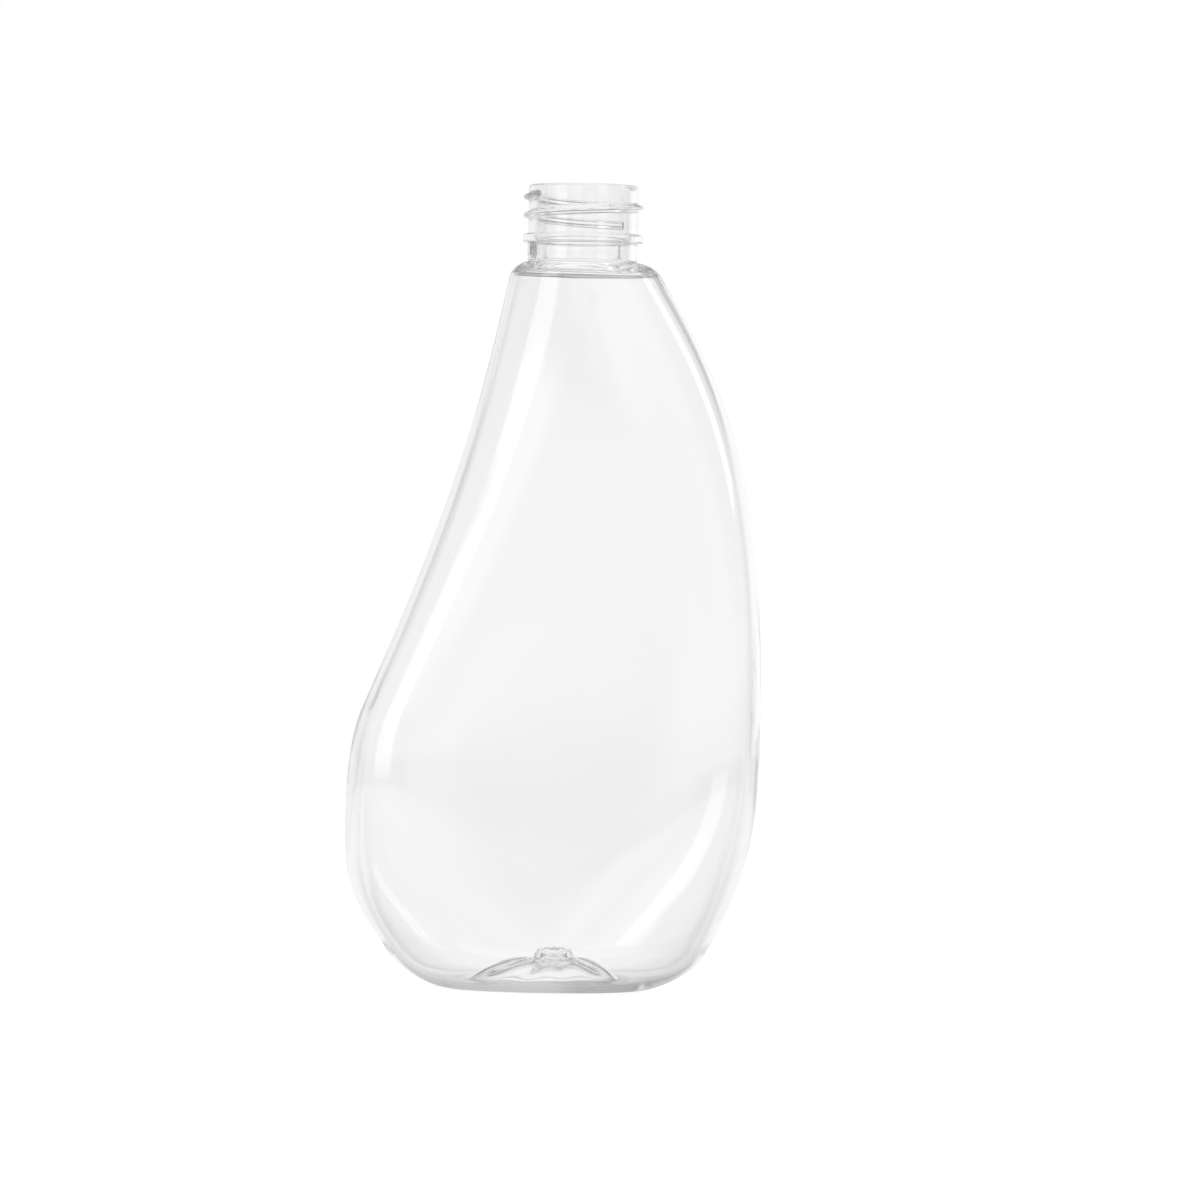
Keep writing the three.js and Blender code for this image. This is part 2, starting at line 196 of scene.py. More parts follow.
def body_levels(height):
    """Rows of centre x, half width, half depth, fullness and height, one for each height of the body."""
    left, right = reach(left_outline, height), reach(right_outline, height)
    swell = smooth(height, 0.0, FULLEST_Z) - smooth(height, FULLEST_Z, SHOULDER_Z)
    fullness = ROUND_FULLNESS + (BELLY_FULLNESS - ROUND_FULLNESS) * swell
    half_depth = reach(depth_outline, height)
    return np.stack([(right - left) / 2, (right + left) / 2, half_depth, fullness, height], 1)


def round_levels(centre_x, radius, height):
    """Round sections about an upright axis, in the same five columns."""
    radius, height = np.broadcast_arrays(radius, height)
    full = np.full(radius.shape, ROUND_FULLNESS)
    return np.stack([np.full(radius.shape, centre_x), radius, radius, full, height], -1)


def inset_levels(levels, inset, height):
    """Sections drawn in by a distance all round and set at new heights."""
    drawn_in = levels.copy()
    drawn_in[:, 1:3] -= np.reshape(inset, (-1, 1))
    drawn_in[:, 4] = height
    return drawn_in


def foot_levels(turn):
    """Levels of the foot at height H (1 - sin t), each side drawn in by its own tuck times 1 - cos t."""
    levels = body_levels(FOOT_HEIGHT * (1 - np.sin(turn)))
    tucked = 1 - np.cos(turn)
    levels[:, 0] += tucked * (LEFT_TUCK - RIGHT_TUCK) / 2
    levels[:, 1] -= tucked * (LEFT_TUCK + RIGHT_TUCK) / 2
    levels[:, 2] -= tucked * FRONT_TUCK
    return levels


def section_grid(levels):
    """Points of each level where |r cos t / a|^n + |r sin t / b|^n = 1, as rows by columns by xyz."""
    centre_x, half_width, half_depth, fullness, height = (column[:, None] for column in levels.T)
    cosine, sine = np.cos(around), np.sin(around)
    powers = np.abs(cosine / half_width) ** fullness + np.abs(sine / half_depth) ** fullness
    radius = powers ** (-1 / fullness)
    return np.stack([centre_x + radius * cosine, radius * sine, np.broadcast_to(height, radius.shape)], 2)


fullest = body_levels(np.array([FULLEST_Z]))[0]
print("fullest level: %.1f by %.1f mm" % (2 * fullest[1] / MM, 2 * fullest[2] / MM))

# %% [markdown]
# ## Base, body and shoulder
#
# A blown bottle stands on a narrow ring, and the middle of its base is pushed up so that it can't bulge out.
# The push-up has shallow flutes and, at its top, the gate where the plastic was injected. Base and body could
# be modelled apart and joined; a run of levels from the gate out to the ring, round the foot and up to the
# neck makes them one skin with no join at all.

# %% Gate and push-up
PUSH_UP_HEIGHT = 5.2 * MM
PUSH_UP_X = 1 * MM
PUSH_UP_CROWN_SHARE = 0.4
PUSH_UP_START_SHARE = 0.1
PUSH_UP_ROWS = 36
GATE_RADIUS = 3.6 * MM
GATE_RISE = 2 * MM
GATE_SLOPE = 1.4 * MM
GATE_ROWS = 20
NUB_RADIUS = 1.3 * MM
NUB_DROP = 0.3 * MM
CENTRE_RADIUS = 0.25 * MM
STANDING_RING_WIDTH = 2 * MM

gate_radius = np.linspace(CENTRE_RADIUS, GATE_RADIUS, GATE_ROWS)[:-1]
gate_height = PUSH_UP_HEIGHT + GATE_RISE * (1 - smooth(gate_radius, GATE_RADIUS - GATE_SLOPE, GATE_RADIUS))
nub = NUB_DROP * (1 - smooth(gate_radius, NUB_RADIUS / 2, NUB_RADIUS))
gate_levels = round_levels(PUSH_UP_X, gate_radius, gate_height - nub)

sole = foot_levels(np.array([math.pi / 2]))
ring_inside = inset_levels(sole, STANDING_RING_WIDTH, 0.0)
gate_edge = round_levels(PUSH_UP_X, GATE_RADIUS, PUSH_UP_HEIGHT)
crown = (PUSH_UP_CROWN_SHARE, PUSH_UP_HEIGHT)
start = (PUSH_UP_START_SHARE, 0.0)
push_up = bezier(((1.0, PUSH_UP_HEIGHT), crown, start, (0.0, 0.0)), PUSH_UP_ROWS)
share_in, push_up_height = push_up.T
push_up_levels = ring_inside + (gate_edge - ring_inside) * share_in[:, None]
push_up_levels[:, 4] = push_up_height
print("gate %d rows, push-up %d rows" % (len(gate_levels), len(push_up_levels)))

# %% Standing ring and foot
RING_ROWS = 5
FOOT_ROWS = 17

ring_inset = np.linspace(STANDING_RING_WIDTH, 0.0, RING_ROWS)
ring_levels = inset_levels(np.repeat(sole, RING_ROWS, 0), ring_inset, 0.0)
foot = foot_levels(np.linspace(math.pi / 2, 0.0, FOOT_ROWS))
base_levels = np.vstack([gate_levels, push_up_levels, ring_levels[1:-1], foot])
print(len(base_levels), "levels in the base")

# %% Body and the flutes of its base
BODY_ROWS = 97
FLUTE_COUNT = 8
FLUTE_DEPTH = 0.3 * MM

side_levels = body_levels(np.linspace(FOOT_HEIGHT, SHOULDER_Z, BODY_ROWS)[1:])
body = section_grid(np.vstack([base_levels, side_levels]))
flutes = FLUTE_DEPTH * np.outer(np.sin(math.pi * share_in) ** 2, np.cos(FLUTE_COUNT * around))
body[GATE_ROWS - 1:GATE_ROWS - 1 + PUSH_UP_ROWS, :, 2] += flutes
print("base and body:", body.shape[0], "rows")

# %% Shoulder
SHOULDER_ROWS = 24
LEAVING_RISE = 0.3 * SHOULDER_RISE
ARRIVING_SHARE = 0.58
ARRIVING_DROP = 0.07 * SHOULDER_RISE


def slope_of(lower, upper):
    """Run along a surface from one row to the next, for each unit of rise."""
    return (upper - lower) / (upper - lower)[:, 2:]


neck_foot = section_grid(round_levels(NECK_X, np.array([NECK_RADIUS]), BODY_HEIGHT))[0]
body_top = body[-1]
leave = body_top + LEAVING_RISE * slope_of(body[-2], body_top)
arrive = neck_foot + ARRIVING_SHARE * (body_top - neck_foot)
arrive[:, 2] = BODY_HEIGHT - ARRIVING_DROP
shoulder = bezier((body_top, leave, arrive, neck_foot), SHOULDER_ROWS)[1:]
outside = np.concatenate([body, shoulder])
print("outer skin:", outside.shape[0], "rows, from z = %.2f to %.2f mm" % (
    outside[..., 2].min() / MM, outside[..., 2].max() / MM))

# %% [markdown]
# ## The neck
#
# The neck is moulded before the body is blown, so it is crisp: a plain collar, a bead that a closure snaps
# under, a screw thread of one and a half turns, two small lugs and a rounded rim. A turned profile gives
# the bead and the rim. The thread and the lugs aren't round, so they are added to the profile's radius as
# a relief that depends on the height and the angle.

# %% Neck profile
COLLAR_HEIGHT = 4.2 * MM
BEAD_HEIGHT = 2 * MM
BEAD_PROUD = 1.15 * MM
BEAD_ROUND = 0.4 * MM
RIM_ROUND = 0.5 * MM
NECK_WALL = 1.8 * MM
COLLAR_ROWS = 14
THREADED_ROWS = 56
ROUND_ROWS = 5

FINISH_HEIGHT = RIM_Z - BODY_HEIGHT
BORE_RADIUS = NECK_RADIUS - NECK_WALL


def corner(centre_radius, centre_height, size, start_deg, end_deg):
    """Quarter round of a profile about a centre, as rows of (radius, height)."""
    angle = np.radians(np.linspace(start_deg, end_deg, ROUND_ROWS))
    return np.stack([centre_radius + size * np.cos(angle), centre_height + size * np.sin(angle)], 1)


def upright(radius, low, high, rows):
    """Straight upright run of a profile."""
    return np.stack([np.full(rows, radius), np.linspace(low, high, rows)], 1)


bead_radius = NECK_RADIUS + BEAD_PROUD - BEAD_ROUND
bead_top = COLLAR_HEIGHT + BEAD_HEIGHT
neck_profile = np.vstack([
    upright(NECK_RADIUS, 0.0, COLLAR_HEIGHT, COLLAR_ROWS)[1:],
    corner(bead_radius, COLLAR_HEIGHT + BEAD_ROUND, BEAD_ROUND, -90, 0),
    corner(bead_radius, bead_top - BEAD_ROUND, BEAD_ROUND, 0, 90),
    upright(NECK_RADIUS, bead_top, FINISH_HEIGHT - RIM_ROUND, THREADED_ROWS),
    corner(NECK_RADIUS - RIM_ROUND, FINISH_HEIGHT - RIM_ROUND, RIM_ROUND, 0, 90)[1:],
    corner(BORE_RADIUS + RIM_ROUND, FINISH_HEIGHT - RIM_ROUND, RIM_ROUND, 90, 180),
])
print(len(neck_profile), "rows in the neck, rim %.2f mm over the shoulder" % (neck_profile[:, 1].max() / MM))

# %% Thread and lugs
THREAD_START = 8.75 * MM
THREAD_PITCH = 4.2 * MM
THREAD_TURNS = 1.54
THREAD_WIDTH = 2 * MM
THREAD_CREST = 0.5 * MM
THREAD_PROUD = 1.15 * MM
THREAD_START_ANGLE = math.radians(120)
BLUNT_START = math.radians(5)
RUNOUT = math.radians(40)
LUG_PROUD = 0.95 * MM
LUG_WIDTH = 2.6 * MM
LUG_EDGE = 0.35 * MM
LUG_GAP = 1 * MM
LUG_ANGLES = np.radians((-66, 136))

from_front = around + math.pi / 2


def thread_relief(height, angle):
    """A ridge along height = start + pitch * turns.

    It stands proud by a smoothstep of the height's distance from that line, times one of the ends.
    """
    relief = np.zeros(np.broadcast(height, angle).shape)
    for lap in range(math.ceil(THREAD_TURNS)):
        travelled = np.mod(angle - THREAD_START_ANGLE, 2 * math.pi) + 2 * math.pi * lap
        left_over = 2 * math.pi * THREAD_TURNS - travelled
        off_line = np.abs(height - THREAD_START - THREAD_PITCH * travelled / (2 * math.pi))
        ridge = 1 - smooth(off_line, THREAD_CREST / 2, THREAD_WIDTH / 2)
        ends = smooth(travelled, 0.0, BLUNT_START) * smooth(left_over, 0.0, RUNOUT)
        relief = np.maximum(relief, THREAD_PROUD * ridge * ends)
    return relief


def lug_relief(height, angle):
    """Upright ribs: a window in the distance around the neck times a window in the height."""
    relief = np.zeros(np.broadcast(height, angle).shape)
    for lug_angle in LUG_ANGLES:
        turned = np.mod(angle - lug_angle + math.pi, 2 * math.pi) - math.pi
        aside = np.abs(turned) * NECK_RADIUS
        across = 1 - smooth(aside, LUG_WIDTH / 2 - LUG_EDGE, LUG_WIDTH / 2 + LUG_EDGE)
        upward = smooth(height, LUG_GAP - LUG_EDGE, LUG_GAP + LUG_EDGE)
        relief = np.maximum(relief, LUG_PROUD * across * upward)
    return relief


profile_radius, profile_height = neck_profile[:, :1], neck_profile[:, 1:]
on_collar = (profile_height <= COLLAR_HEIGHT) & (profile_radius <= NECK_RADIUS)
on_thread = (profile_height >= bead_top) & (profile_radius >= NECK_RADIUS - RIM_ROUND)
relief = (np.where(on_collar, lug_relief(profile_height, from_front), 0.0)
          + np.where(on_thread, thread_relief(profile_height, from_front), 0.0))
neck_radius = profile_radius + relief
neck = np.stack([
    NECK_X + neck_radius * np.cos(around),
    neck_radius * np.sin(around),
    np.broadcast_to(BODY_HEIGHT + profile_height, neck_radius.shape),
], 2)
print("thread stands %.2f mm proud" % (relief.max() / MM))

# %% [markdown]
# ## The wall and its inner face
#
# A blown wall isn't even. It stays thick at the neck and the gate, thins out quickly over the shoulder and
# slowly over the base, and waves a little where the plastic stretched unevenly. Those changes bend the light
# and draw the soft lines that tell plastic from glass. A Solidify modifier gives one thickness only, so the
# inner face is the outer one moved in along its normals by a wall that is a formula of place.

# %% Normals of the outer skin
wide = np.concatenate([around[-1:] - 2 * math.pi, around, around[:1] + 2 * math.pi])
wrapped = np.concatenate([outside[:, -1:], outside, outside[:, :1]], 1)
along = np.gradient(wrapped, wide, axis=1)[:, 1:-1]
upward = np.gradient(outside, axis=0)
normals = np.cross(along, upward)
normals /= np.linalg.norm(normals, axis=2, keepdims=True)
print("normals point out at the belly:", normals[len(base_levels), 0].round(2))

# %% Wall thickness
BODY_WALL = 0.6 * MM
GATE_WALL = 2.2 * MM
GATE_REACH = 20 * MM
SHOULDER_REACH = 1.2 * MM
WAVE = 0.03 * MM
WAVE_MARGIN = 10 * MM
WAVES = ((1.0, 3, 0.7, 21 * MM), (0.6, 5, 2.1, -13 * MM), (0.5, 2, 0.0, -8 * MM))

steps = np.linalg.norm(np.diff(outside, axis=0), axis=2)
from_gate = np.vstack([np.zeros((1, len(around))), np.cumsum(steps, 0)])
to_neck = from_gate[-1] - from_gate
slow_waves = sum(strength * np.sin(lobes * around + phase + to_neck / length)
                 for strength, lobes, phase, length in WAVES)
wall = (BODY_WALL + (NECK_WALL - BODY_WALL) * np.exp(-to_neck / SHOULDER_REACH)
        + (GATE_WALL - BODY_WALL) * np.exp(-from_gate / GATE_REACH)
        + WAVE * slow_waves * smooth(to_neck, 0.0, WAVE_MARGIN) * smooth(from_gate, 0.0, WAVE_MARGIN))
wall[:GATE_ROWS - 1] += nub[:, None]
inside = outside - normals * wall[..., None]
print("wall from %.2f to %.2f mm" % (wall.min() / MM, wall.max() / MM))

# %% The parting line
PARTING_RISE = 0.02 * MM

on_parting = np.isclose(np.sin(around), 0.0, atol=PARTING_STEP / 2)
on_side = (np.arange(len(outside)) >= len(base_levels))[:, None]
outside = outside + normals * (PARTING_RISE * on_side * on_parting)[..., None]
print("parting line on", int(on_parting.sum()), "columns")

# %% [markdown]
# ## One closed skin
#
# The rows now follow each other: outside from the gate up to the neck, the neck over its rim, the bore, and
# the inside down to the gate again. Between the bore and the body the inner face flares out in a curve of
# its own, a little uneven around. Below the flare it is smoother than the outer face, so every second row is
# enough for it. Two points at the middle of the gate close the ends.

# %% Mesh of the bottle
BORE_ROWS = 12
BORE_OVERRUN = 0.3 * MM
FLARE_ROWS = 20
FLARE_LEAVING = 0.5 * MM
FLARE_ARRIVING = 1 * MM
FLARE_SKIPS = 6
FLARE_LOBES = ((0.3, 3, 1.0), (0.2, 7, 0.0))
FLARE_FROM = len(body) + FLARE_SKIPS


def closed_skin(name, rows, start_pole, end_pole):
    """Rows of points joined by quads, each row closing on itself, with a fan of triangles at each end."""
    row_count, column_count = rows.shape[:2]
    points = np.vstack([rows.reshape(-1, 3), start_pole, end_pole])
    first = np.arange(column_count)
    after = np.roll(first, -1)
    low = (np.arange(row_count - 1) * column_count)[:, None]
    quads = np.stack([low + first, low + after, low + column_count + after, low + column_count + first], 2)
    pole = len(points) - 2
    top = (row_count - 1) * column_count
    start_fan = np.stack([np.full(column_count, pole), after, first], 1)
    end_fan = np.stack([np.full(column_count, pole + 1), top + first, top + after], 1)
    mesh = bpy.data.meshes.new(name)
    faces = quads.reshape(-1, 4).tolist() + start_fan.tolist() + end_fan.tolist()
    mesh.from_pydata(points.tolist(), [], faces)
    mesh.shade_smooth()
    piece = bpy.data.objects.new(name, mesh)
    bpy.context.collection.objects.link(piece)
    return piece


bore_profile = upright(BORE_RADIUS, FINISH_HEIGHT - RIM_ROUND, -BORE_OVERRUN, BORE_ROWS)[1:]
bore = section_grid(round_levels(NECK_X, bore_profile[:, 0], BODY_HEIGHT + bore_profile[:, 1]))
inner_top, bore_foot = inside[FLARE_FROM - 1], bore[-1]
uneven = 1 + sum(strength * np.sin(lobes * around + phase) for strength, lobes, phase in FLARE_LOBES)
leave = inner_top + FLARE_LEAVING * uneven[:, None] * slope_of(inside[FLARE_FROM - 2], inner_top)
arrive = bore_foot - (0.0, 0.0, FLARE_ARRIVING)
flare = bezier((inner_top, leave, arrive, bore_foot), FLARE_ROWS)[1:-1]
inside_down = np.concatenate([flare[::-1], inside[:FLARE_FROM][::-2]])
skin = np.concatenate([outside, neck, bore, inside_down])
bottle = closed_skin("bottle_shell", skin, outside[0].mean(0), inside_down[-1].mean(0))
triangles = sum(len(face.vertices) - 2 for face in bottle.data.polygons)
print("bottle_shell:", len(bottle.data.vertices), "points,", triangles, "triangles")

# %% Its place in the frame
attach(bottle, "root")
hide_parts("neck_finish", "front_half", "back_half", "base_cup")
print(bottle.name, "stands for the four solids of the frame")

# %% [markdown]
# ## Clear plastic
#
# The bottle is PET: colourless, glossy, and a little less clear than glass. A mix of Glass and Transparent
# nodes would do for one view, but the Principled shader with full transmission and the plastic's own
# refractive index bends light as the real wall does. Fine noise varies the gloss, as handling does, and a
# slight bump gives the faint ripple of a blown surface.

# %% PET material
PET_COLOUR = (0.99, 0.99, 0.99, 1.0)
PET_IOR = 1.575
HANDLING_SCALE = 45.0
HANDLING_DETAIL = 3.0
HANDLING_RANGE = (0.35, 0.7)
ROUGHNESS_RANGE = (0.012, 0.05)
RIPPLE_SCALE = 90.0
RIPPLE_DETAIL = 1.0
RIPPLE_STRENGTH = 0.15
RIPPLE_HEIGHT = 0.2 * MM

clear = bpy.data.materials.new("clear_pet")
clear.use_nodes = True
nodes, links = clear.node_tree.nodes, clear.node_tree.links
shader = nodes["Principled BSDF"]
shader.inputs["Base Color"].default_value = PET_COLOUR
shader.inputs["IOR"].default_value = PET_IOR
shader.inputs["Transmission Weight"].default_value = 1.0

place = nodes.new("ShaderNodeTexCoord")
handling = nodes.new("ShaderNodeTexNoise")
handling.inputs["Scale"].default_value = HANDLING_SCALE
handling.inputs["Detail"].default_value = HANDLING_DETAIL
gloss = nodes.new("ShaderNodeMapRange")
gloss.inputs["From Min"].default_value, gloss.inputs["From Max"].default_value = HANDLING_RANGE
gloss.inputs["To Min"].default_value, gloss.inputs["To Max"].default_value = ROUGHNESS_RANGE
links.new(place.outputs["Object"], handling.inputs["Vector"])
links.new(handling.outputs["Fac"], gloss.inputs["Value"])
links.new(gloss.outputs["Result"], shader.inputs["Roughness"])

ripple = nodes.new("ShaderNodeTexNoise")
ripple.inputs["Scale"].default_value = RIPPLE_SCALE
ripple.inputs["Detail"].default_value = RIPPLE_DETAIL
bump = nodes.new("ShaderNodeBump")
bump.inputs["Strength"].default_value = RIPPLE_STRENGTH
bump.inputs["Distance"].default_value = RIPPLE_HEIGHT
links.new(place.outputs["Object"], ripple.inputs["Vector"])
links.new(ripple.outputs["Fac"], bump.inputs["Height"])
links.new(bump.outputs["Normal"], shader.inputs["Normal"])
bottle.data.materials.append(clear)
print("material %s, refractive index %.3f" % (clear.name, PET_IOR))

# %% [markdown]
# ## Studio
#
# Clear plastic shows nothing of its own, only what it bends and mirrors, so the room around it is the light.
# Lamps would leave hard edges in the streaks. A real softbox fades out at its rim, and a formula of direction
# does that, so the whole room is built from fades. Levels are shares of white. They were chosen for the view
# from the front.

# %% Node helpers
SIDES_FADE = (-0.18, 0.12)
RIGHT_SIDE = 0.05


def calculate(tree, operation, *values):
    """Math node of numbers and sockets."""
    node = tree.nodes.new("ShaderNodeMath")
    node.operation = operation
    for socket, value in zip(node.inputs, values):
        if isinstance(value, bpy.types.NodeSocket):
            tree.links.new(value, socket)
        else:
            socket.default_value = value
    return node.outputs["Value"]


def product(tree, first, second):
    """Two values multiplied."""
    return calculate(tree, "MULTIPLY", first, second)


def rest_of(tree, share):
    """What a share leaves of the whole: 1 - share."""
    return calculate(tree, "SUBTRACT", 1.0, share)


def span_of(tree, x, y):
    """Length of two legs at a right angle: the root of x^2 + y^2."""
    return calculate(tree, "SQRT", calculate(tree, "ADD", product(tree, x, x), product(tree, y, y)))


def fade(tree, value, ends, results):
    """Smoothstep of a socket, from results[0] at ends[0] to results[1] at ends[1]."""
    node = tree.nodes.new("ShaderNodeMapRange")
    node.interpolation_type = "SMOOTHSTEP"
    node.inputs["From Min"].default_value, node.inputs["From Max"].default_value = ends
    node.inputs["To Min"].default_value, node.inputs["To Max"].default_value = results
    tree.links.new(value, node.inputs["Value"])
    return node.outputs["Result"]


def coordinates(tree, kind):
    """The three axes of a texture coordinate."""
    place = tree.nodes.new("ShaderNodeTexCoord")
    split = tree.nodes.new("ShaderNodeSeparateXYZ")
    tree.links.new(place.outputs[kind], split.inputs["Vector"])
    return split.outputs["X"], split.outputs["Y"], split.outputs["Z"]


def choose(tree, ray, otherwise, value):
    """Mix node that gives value to one kind of ray and otherwise to the rest."""
    mix = tree.nodes.new("ShaderNodeMix")
    path = tree.nodes.new("ShaderNodeLightPath")
    tree.links.new(path.outputs[ray], mix.inputs["Factor"])
    tree.links.new(otherwise, mix.inputs["A"])
    mix.inputs["B"].default_value = value
    return mix.outputs["Result"]


def sides(tree, toward_x, left_side):
    """Level that falls from the left to the almost dark right."""
    return fade(tree, toward_x, SIDES_FADE, (left_side, RIGHT_SIDE))


print("the right side's level is", RIGHT_SIDE)

# %% [markdown]
# ## The room's walls
#
# A direction's x, y and z tell where it points: x to the right, y away behind the bottle, z up. At eye
# height the room is brighter at the left than at the right. Above that the walls are about half white and the
# ceiling is white. The wall behind the bottle is dimmed below the ceiling. The white wings of the next step
# cover its lower part, and the strip that stays in sight over them darkens the line of the shoulder.

# %% World and walls
EYE_HEIGHT_FADE = (0.0, 0.15)
EYE_HEIGHT_LEFT = 0.5
FRONT_WALL, SIDE_WALL = 0.62, 0.5
WALL_FOOT = 0.3
CEILING_FADE = (0.4, 0.85)
STRIP_DIMMING = 0.75
STRIP_BEHIND = (0.1, 0.5)
STRIP_TOP = (0.42, 0.5)

world = bpy.data.worlds.new("studio")
world.use_nodes = True
bpy.context.scene.world = world
tree = world.node_tree
toward_x, toward_y, toward_z = coordinates(tree, "Generated")

eye_height = product(tree, sides(tree, toward_x, EYE_HEIGHT_LEFT),
                     fade(tree, toward_z, EYE_HEIGHT_FADE, (1.0, 0.0)))
walls = product(tree, fade(tree, toward_y, (-1.0, 0.0), (FRONT_WALL, SIDE_WALL)),
                fade(tree, toward_z, EYE_HEIGHT_FADE, (WALL_FOOT, 1.0)))
walls = calculate(tree, "MAXIMUM", walls, fade(tree, toward_z, CEILING_FADE, (0.0, 1.0)))
strip = product(tree, fade(tree, toward_y, STRIP_BEHIND, (0.0, STRIP_DIMMING)),
                fade(tree, toward_z, STRIP_TOP, (1.0, 0.0)))
walls = product(tree, walls, rest_of(tree, strip))
print("walls from %.2f at the front to %.2f at the sides" % (FRONT_WALL, SIDE_WALL))

# %% [markdown]
# ## The white behind
#
# Straight behind the bottle stands a white panel, which is what shows through the plastic. White wings at its
# sides keep the outlines light. A slightly dimmer gap between panel and wings draws a thin line inside the
# upper outline.

# %% Panel and wings
PANEL_EDGE = (0.98, 0.986)
GAP_EDGE = (0.968, 0.976)
GAP_FOOT = (0.02, 0.1)
GAP_DIMMING = 0.25
WING_SIDES = (-0.1, 0.1)
LEFT_WING, RIGHT_WING = 0.9, 1.0
WING_REACH = (0.35, 0.67)
WING_TOP = (0.27, 0.34)

panel = fade(tree, toward_y, PANEL_EDGE, (0.0, 1.0))
gap = product(tree, fade(tree, toward_y, GAP_EDGE, (0.0, GAP_DIMMING)),
              fade(tree, toward_z, GAP_FOOT, (0.0, 1.0)))
wings = product(tree, fade(tree, toward_x, WING_SIDES, (LEFT_WING, RIGHT_WING)),
                fade(tree, toward_y, WING_REACH, (0.0, 1.0)))
wings = product(tree, product(tree, wings, rest_of(tree, gap)), fade(tree, toward_z, WING_TOP, (1.0, 0.0)))
room = eye_height
for level in (walls, panel, wings):
    room = calculate(tree, "MAXIMUM", room, level)
print("the panel spans %.0f degrees" % (2 * math.degrees(math.acos(PANEL_EDGE[0]))))

# %% [markdown]
# ## Softboxes
#
# The long streaks are softboxes mirrored in the wall. Each is a window in azimuth and elevation with soft
# edges. A tall one at the left and a narrow one at the right draw the two long streaks. A wide soft one eases
# the left streak's edge, two faint low ones are in front, and a very dim one is at the front right. To the
# camera the room is plain white.

# %% Softbox windows
LEFT_BOX = (-50, 17, (26, 32), 4, 1.0)
LEFT_HALO = (-36, 28, (36, 22), 14, 0.6)
RIGHT_BOX = (102, 36, (15, 30), 3, 1.4)
FRONT_BOX = (-4, 9, (8, 10), 5, 0.2)
LOW_FRONT_BOX = (-13, 3, (18, 8), 6, 0.35)
FRONT_RIGHT_BOX = (48, 22, (26, 20), 10, 0.14)

azimuth = calculate(tree, "ARCTAN2", toward_x, product(tree, toward_y, -1.0))
elevation = calculate(tree, "ARCSINE", toward_z)


def window(azimuth_deg, elevation_deg, span_deg, blur_deg, radiance):
    """Soft-edged window: radiance times a smoothstep of the angle aside times one of the angle above.

    Azimuth counts from the front towards the right.
    """
    turned = calculate(tree, "SUBTRACT", azimuth, math.radians(azimuth_deg))
    aside = calculate(tree, "ABSOLUTE", calculate(tree, "WRAP", turned, math.pi, -math.pi))
    above = calculate(tree, "ABSOLUTE", calculate(tree, "SUBTRACT", elevation, math.radians(elevation_deg)))
    lit = radiance
    for distance, span in zip((aside, above), span_deg):
        ends = np.radians((span - blur_deg, span + blur_deg)) / 2
        lit = product(tree, fade(tree, distance, ends, (1.0, 0.0)), lit)
    return lit


softboxes = (LEFT_BOX, LEFT_HALO, RIGHT_BOX, FRONT_BOX, LOW_FRONT_BOX, FRONT_RIGHT_BOX)
for softbox in softboxes:
    room = calculate(tree, "ADD", room, window(*softbox))
tree.links.new(choose(tree, "Is Camera Ray", room, 1.0), tree.nodes["Background"].inputs["Strength"])
tree.nodes["Background"].inputs["Color"].default_value = (1.0, 1.0, 1.0, 1.0)
print(len(softboxes), "softboxes in", world.name)

# %% [markdown]
# ## Floor
#
# One pale plane is floor enough. To the camera it glows almost white, so that it runs into the white room
# without a line, and it keeps a matt share that the bottle shades.

# %% Floor plane
FLOOR_HALF = 2.0
FLOOR_GLOW = 0.93
FLOOR_MATT = 0.2

floor_mesh = bpy.data.meshes.new("floor")
floor_mesh.from_pydata(
    [(-FLOOR_HALF, -FLOOR_HALF, 0), (FLOOR_HALF, -FLOOR_HALF, 0), (FLOOR_HALF, FLOOR_HALF, 0),
     (-FLOOR_HALF, FLOOR_HALF, 0)], [], [(0, 1, 2, 3)])
floor = bpy.data.objects.new("floor", floor_mesh)
bpy.context.collection.objects.link(floor)

paper = bpy.data.materials.new("white_sweep")
paper.use_nodes = True
floor_mesh.materials.append(paper)
tree = paper.node_tree
tree.nodes.remove(tree.nodes["Principled BSDF"])
print("floor %.0f m wide" % (2 * FLOOR_HALF))

# %% [markdown]
# ## What the plastic sees of the floor
#
# The lower half of the bottle mirrors the floor. To every ray but the camera's, the floor glows with painted
# light and shade that carry the room's levels on: bright at the left, dark at the right, light behind and
# close by.
# Lamps could light it so, but a formula of distance and direction is easier to steer. Distances are in metres
# from the bottle's middle. A glowing floor can't darken under the bottle by itself, so a narrow band along
# the outer edge of the standing ring is painted darker as a contact shadow.

# %% Floor levels
FLOOR_LEFT = 0.9
NEAR_SIDES, NEAR_SIDES_REACH = 0.6, (0.1, 0.5)
BEHIND_TURN = (-0.3, 0.5)
BEHIND_REACH, BEHIND_LEVELS = (0.2, 0.8), (0.95, 0.65)
STRAIGHT_BEHIND = (0.9, 0.98)
NEAR_LEVEL, NEAR_REACH = 0.6, (0.25, 0.7)
NEAR_RIGHT_SHARE, NEAR_RIGHT_TURN = 0.8, (0.0, 0.4)
# Painted contact shadow: how much and where the floor's glow is dimmed around the standing ring.
CONTACT_SHADOW_DIMMING = 0.3
CONTACT_SHADOW_INNER_EDGE = (0.96, 0.99)
CONTACT_SHADOW_OUTER_EDGE = (1.02, 1.06)

